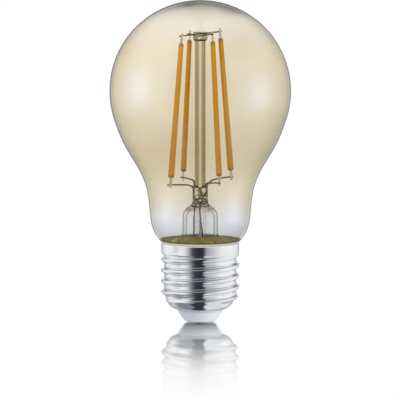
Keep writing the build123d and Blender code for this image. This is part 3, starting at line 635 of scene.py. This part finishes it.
def cubic(pts, t0, t1, n):
    """Clamped cubic spline through pts by chord length, sampled n times."""
    P = np.array(pts, float)
    m = len(P)
    d = np.linalg.norm(np.diff(P, axis=0), axis=1)
    u = np.concatenate([[0], np.cumsum(d)])
    A = np.zeros((m, m))
    B = np.zeros((m, 2))
    A[0, 0] = A[-1, -1] = 1
    B[0] = np.array(t0) / np.linalg.norm(t0)
    B[-1] = np.array(t1) / np.linalg.norm(t1)
    for i in range(1, m - 1):
        h0, h1 = d[i - 1], d[i]
        A[i, i - 1], A[i, i], A[i, i + 1] = h1, 2 * (h0 + h1), h0
        B[i] = 3 * (h1 * (P[i] - P[i - 1]) / h0 + h0 * (P[i + 1] - P[i]) / h1)
    M = np.linalg.solve(A, B)
    out = []
    for s in np.linspace(0, u[-1], n):
        i = min(max(int(np.searchsorted(u, s, side="right")) - 1, 0), m - 2)
        h = d[i]
        q = (s - u[i]) / h
        out.append(
            (2 * q**3 - 3 * q**2 + 1) * P[i]
            + (q**3 - 2 * q**2 + q) * h * M[i]
            + (-2 * q**3 + 3 * q**2) * P[i + 1]
            + (q**3 - q**2) * h * M[i + 1]
        )
    return [tuple(p) for p in out]


def ring_faces(rows, seg, closed=True):
    """Quads of a grid of rings: rows rings of seg vertices each, ring after ring."""
    faces = []
    last = rows if closed else rows - 1
    for i in range(last):
        a, b = i * seg, ((i + 1) % rows) * seg
        for k in range(seg):
            j = (k + 1) % seg
            faces.append((a + k, a + j, b + j, b + k))
    return faces


# ------------------------------------------------------------------ glass envelope
GLOBE_R, GLOBE_Z, WALL = 30.25, 77.5, 0.8
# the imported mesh's own half width keeps the lathe inside it
half = (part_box("glass_envelope")[1][0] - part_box("glass_envelope")[0][0]) / 2 * 1000.0
trim = min(1.0, half / GLOBE_R) * 0.9996
join_z = 68.0
drop = math.asin((GLOBE_Z - join_z) / GLOBE_R)
join_r = GLOBE_R * math.cos(drop)


def arc(radius, n):
    return [
        (radius * math.sin(a), GLOBE_Z + radius * math.cos(a))
        for a in np.linspace(0.0, math.pi / 2 + drop, n)[1:]
    ]


shoulder = cubic(
    [(join_r, join_z), (25.30, 59.5), (20.98, 52.2), (18.02, 45.2), (17.00, 38.6), (16.03, 32.0), (14.15, 28.3), (12.45, 26.45)],
    (-math.sin(drop), -math.cos(drop)),
    (-0.62, -0.78),
    90,
)
outer = arc(GLOBE_R, 90) + shoulder[1:] + [(12.05, 25.85), (12.05, 24.7), (11.6, 24.2)]
inner_end = [(11.05, 24.3), (10.85, 24.9), (11.30, 25.9), (12.35, 27.6)]
moved = []
for i, (r, z) in enumerate(shoulder):
    p, q = shoulder[max(i - 1, 0)], shoulder[min(i + 1, len(shoulder) - 1)]
    dr, dz_ = q[0] - p[0], q[1] - p[1]
    L = math.hypot(dr, dz_)
    moved.append((r + dz_ / L * WALL, z - dr / L * WALL))
moved = [p for p in moved if p[1] > 28.6]
inner = arc(GLOBE_R - WALL, 90) + moved[1:]
profile = outer + inner_end + inner[::-1]
SEG = 160
verts = []
for r, z in profile:
    for k in range(SEG):
        a = 2 * math.pi * k / SEG
        verts.append((r * trim * math.cos(a) * MM, r * trim * math.sin(a) * MM, z * MM))
faces = ring_faces(len(profile), SEG, closed=False)
top_out = len(verts)
verts.append((0, 0, (GLOBE_Z + GLOBE_R) * MM - 1e-6))
top_in = len(verts)
verts.append((0, 0, (GLOBE_Z + GLOBE_R - WALL) * MM))
last = (len(profile) - 1) * SEG
for k in range(SEG):
    j = (k + 1) % SEG
    faces.append((top_out, j, k))
    faces.append((top_in, last + k, last + j))
faces = [f[::-1] for f in faces]
envelope = build("envelope_glass", verts, faces, mats["amber_glass"], 60.0)
side_of = envelope.data.attributes.new("inner_face", "FLOAT", "POINT")
first_inner = (len(outer) + len(inner_end)) * SEG
side_of.data.foreach_set("value", [1.0 if i >= first_inner and i != top_out else 0.0 for i in range(len(verts))])
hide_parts("glass_envelope")
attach(envelope, "root")

# ------------------------------------------------------------------ screw cap
PITCH, ROOT, DEPTH, HALF_W, Z0, SHEET = 3.629, 12.00, 1.05, 1.6, 4.78, 0.30
COLLAR, SKIRT = 13.00, 13.05
R_ARC = HALF_W / (2 * math.sin(2 * math.atan(DEPTH / HALF_W)))


def ease(a, b, x):
    q = np.clip((x - a) / (b - a), 0.0, 1.0)
    return q * q * (3 - 2 * q)


def ridge(u):
    u = abs((u + PITCH / 2) % PITCH - PITCH / 2)
    if u >= HALF_W:
        return 0.0
    if u <= HALF_W / 2:
        return DEPTH - R_ARC + math.sqrt(R_ARC * R_ARC - u * u)
    v = HALF_W - u
    return R_ARC - math.sqrt(R_ARC * R_ARC - v * v)


cone = cubic([(8.60, 4.58), (10.35, 5.75), (11.40, 7.9), (ROOT, 10.8)], (1, 0.42), (0, 1), 40)
step = cubic([(ROOT, 22.1), ((ROOT + COLLAR) / 2, 22.90), (COLLAR, 23.7)], (0, 1), (0, 1), 26)
outline = [(7.50, 4.30), (7.78, 4.34), (8.05, 4.41), (8.32, 4.49)] + cone
outline += [(ROOT, z) for z in np.linspace(10.8, 22.1, 124)[1:]]
outline += step[1:] + [(COLLAR, 23.85), (SKIRT - 0.02, 24.05), (SKIRT, 24.25)]
outline += [(SKIRT, z) for z in (24.8, 25.4, 26.0, 26.35)]
outline += [(SKIRT - 0.02, 26.58), (SKIRT - 0.07, 26.74), (SKIRT - 0.15, 26.80)]
rows = len(outline)
SEGC = 240
grid_o, grid_i = [], []
for k in range(SEGC):
    a = 2 * math.pi * k / SEGC
    zc = Z0 + PITCH * a / (2 * math.pi)
    col_o = []
    for r, z in outline:
        up = float(ease(6.2, 8.8, z) * (1 - ease(22.7, 23.7, z))) * ridge(z - zc)
        col_o.append((r + up - max(0.0, r - ROOT) * up / DEPTH if z < 23.8 else r, z))
    col_i = []
    for i, (r, z) in enumerate(col_o):
        p, q = col_o[max(i - 1, 0)], col_o[min(i + 1, rows - 1)]
        dr, dz_ = q[0] - p[0], q[1] - p[1]
        L = math.hypot(dr, dz_)
        nr, nz = -dz_ / L, dr / L
        if i >= rows - 3:
            nr, nz = -1.0, 0.0
        thick = {rows - 1: 0.09, rows - 2: 0.20, rows - 3: 0.28}.get(i, SHEET)
        col_i.append((r + nr * thick, z + nz * thick))
    grid_o.append(col_o)
    grid_i.append(col_i)
verts, total = [], 2 * rows
for i in range(total):
    src, ii = (grid_o, i) if i < rows else (grid_i, total - 1 - i)
    for k in range(SEGC):
        a = 2 * math.pi * k / SEGC
        r, z = src[k][ii]
        verts.append((r * math.cos(a) * MM, r * math.sin(a) * MM, z * MM))
cap = build("rolled_cap", verts, ring_faces(total, SEGC), mats["nickel_cap"], 50.0)
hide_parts("screw_shell")
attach(cap, "root")

# ------------------------------------------------------------------ weld nuggets on the filament tabs
TURN = math.radians(31.0)
ca, sa = math.cos(TURN), math.sin(TURN)
spots = [
    ((-ca, -sa), 96.05, 46.65, 1, 0.0),
    ((sa, -ca), 96.75, 47.60, 1, 0.0),
    ((ca, sa), 97.05, 48.20, -1, 0.20),
    ((-sa, ca), 96.10, 47.60, -1, 0.0),
]
TOP_R, LOW_R = 7.30, 11.75
verts, faces = [], []
rng = np.random.default_rng(7)


def nugget(centre, along, up, sx, sy, sz):
    """Lumpy flattened bead: sx along the wire, sy across it, sz up the tab."""
    along = np.array(along) / np.linalg.norm(along)
    up = np.array(up) / np.linalg.norm(up)
    side = np.cross(up, along)
    base = len(verts)
    nr, ns = 7, 12
    lumps = rng.uniform(0.86, 1.12, (nr + 1, ns))
    verts.append(tuple((np.array(centre) + up * sz) * MM))
    for i in range(1, nr):
        th = math.pi * i / nr
        for k in range(ns):
            ph = 2 * math.pi * k / ns
            q = lumps[i, k]
            p = (
                np.array(centre)
                + up * sz * math.cos(th)
                + along * sx * math.sin(th) * math.cos(ph) * q
                + side * sy * math.sin(th) * math.sin(ph) * q
            )
            verts.append(tuple(p * MM))
    verts.append(tuple((np.array(centre) - up * sz) * MM))
    end = len(verts) - 1
    for k in range(ns):
        j = (k + 1) % ns
        faces.append((base, base + 1 + k, base + 1 + j))
        faces.append((end, end - ns + j, end - ns + k))
        for i in range(nr - 2):
            a = base + 1 + i * ns
            faces.append((a + k, a + ns + k, a + ns + j, a + j))


for (px, py), zt, zb, flip, out_by in spots:
    side = np.array((-py, px, 0.0)) * flip
    for R, z, wr in ((TOP_R + out_by, zt, 0.225), (LOW_R + out_by, zb, 0.25)):
        c = np.array((px * R, py * R, z)) + side * (wr * 0.45)
        nugget(c, (px, py, 0), (0, 0, 1), 0.42, wr + 0.10, 0.36)
welds = build("tab_weld_nuggets", verts, faces, mats["filament_tab"], 60.0)
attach(welds, "root")

# ------------------------------------------------------------------ floor
me = bpy.data.meshes.new("floor")
S = 6.0
me.from_pydata([(-S, -S, 0), (S, -S, 0), (S, S, 0), (-S, S, 0)], [], [(0, 1, 2, 3)])
floor = bpy.data.objects.new("floor", me)
bpy.context.scene.collection.objects.link(floor)
m, t = new_material("pale_floor")
geo = t.node("ShaderNodeNewGeometry")
away = t.node("ShaderNodeVectorMath", operation="SCALE")
t.put(away.inputs[0], geo.outputs["Incoming"])
away.inputs["Scale"].default_value = -1.0
grp = t.node("ShaderNodeGroup", node_tree=studio)
t.put(grp.inputs[0], away.outputs[0])
glow = t.node("ShaderNodeEmission")
t.put(glow.inputs["Color"], grp.outputs[0])
pos = t.split(t.place())
rad = t.math("SQRT", t.add(t.mul(pos[0], pos[0]), t.mul(pos[1], pos[1])))
fade = t.ramp(t.line(rad, 0.0, 0.2), [(0.0, 0.95), (0.10, 0.90), (0.30, 0.72), (0.425, 0.45), (0.55, 0.20), (0.75, 0.05), (0.86, 0.0)])
# the polish shows at a low view from the front and sides; from above and behind the floor is plain
seen = t.split(geo.outputs["Incoming"])
fade = t.mul(fade, t.mul(t.smooth(seen[2], 0.62, 0.26), t.smooth(seen[1], 0.80, 0.20)))
lp = t.node("ShaderNodeLightPath")
gloss = t.node("ShaderNodeBsdfGlossy")
# contact shade in the mirrored insulator
reach = t.mul(pos[1], -1000.0)
painted_shade = t.ramp(t.line(reach, 5.0, 45.0), [(0.0, 0.28), (0.10, 0.32), (0.25, 0.48), (0.425, 0.66), (0.625, 0.80), (0.775, 0.88), (1.0, 1.0)])
off = t.sub(t.math("ABSOLUTE", t.mul(pos[0], 1000.0)), t.add(4.8, t.mul(reach, 0.062)))
painted_shade = t.mix(t.mul(t.smooth(off, 0.5, -0.5), t.smooth(reach, 3.0, 6.0)), (1.0, 1.0, 1.0), painted_shade)
t.put(gloss.inputs["Color"], painted_shade)
gloss.inputs["Roughness"].default_value = 0.035
mx = t.node("ShaderNodeMixShader")
t.put(mx.inputs[0], t.mul(fade, lp.outputs["Is Camera Ray"]))
t.put(mx.inputs[1], glow.outputs[0])
t.put(mx.inputs[2], gloss.outputs[0])
t.out(mx.outputs[0])
me.materials.append(m)

# ------------------------------------------------------------------ soft lamps for the matt pieces


def lamp(name, place, energy, size, colour=(1, 1, 1)):
    data = bpy.data.lights.new(name, "AREA")
    data.energy = energy
    data.shape = "DISK"
    data.size = size
    data.color = colour
    ob = bpy.data.objects.new(name, data)
    bpy.context.scene.collection.objects.link(ob)
    ob.location = place
    from mathutils import Vector

    ob.rotation_euler = (Vector((0, 0, 0.06)) - Vector(place)).to_track_quat("-Z", "Y").to_euler()
    ob.visible_glossy = False
    ob.visible_transmission = False
    ob.visible_camera = False
    return ob


lamp("key_right", (0.55, -0.55, 0.45), 1.1, 0.35)
lamp("fill_left", (-0.6, -0.35, 0.35), 0.9, 0.4)

# ------------------------------------------------------------------ camera
from mathutils import Vector

ELEV = math.radians(5.9)
DIST = 1.25
target = Vector((-0.00008, 0.0, 0.0410))
cam_data = bpy.data.cameras.new("camera")
cam_data.sensor_width = 36.0
cam_data.lens = 36.0 * DIST / 0.13365
cam_data.clip_start = 0.01
cam_data.clip_end = 50.0
cam = bpy.data.objects.new("camera", cam_data)
bpy.context.scene.collection.objects.link(cam)
cam.location = target + Vector((0.0, -math.cos(ELEV), math.sin(ELEV))) * DIST
cam.rotation_euler = (target - cam.location).to_track_quat("-Z", "Y").to_euler()
bpy.context.scene.camera = cam

sc = bpy.context.scene
sc.view_settings.view_transform = "Standard"
sc.view_settings.look = "None"
sc.view_settings.exposure = 0.0
sc.view_settings.gamma = 1.0
sc.cycles.use_denoising = True
sc.cycles.max_bounces = 24
sc.cycles.diffuse_bounces = 4
sc.cycles.glossy_bounces = 8
sc.cycles.transmission_bounces = 16
sc.cycles.transparent_max_bounces = 48
sc.cycles.caustics_reflective = True
sc.cycles.caustics_refractive = True
sc.cycles.sample_clamp_indirect = 6.0
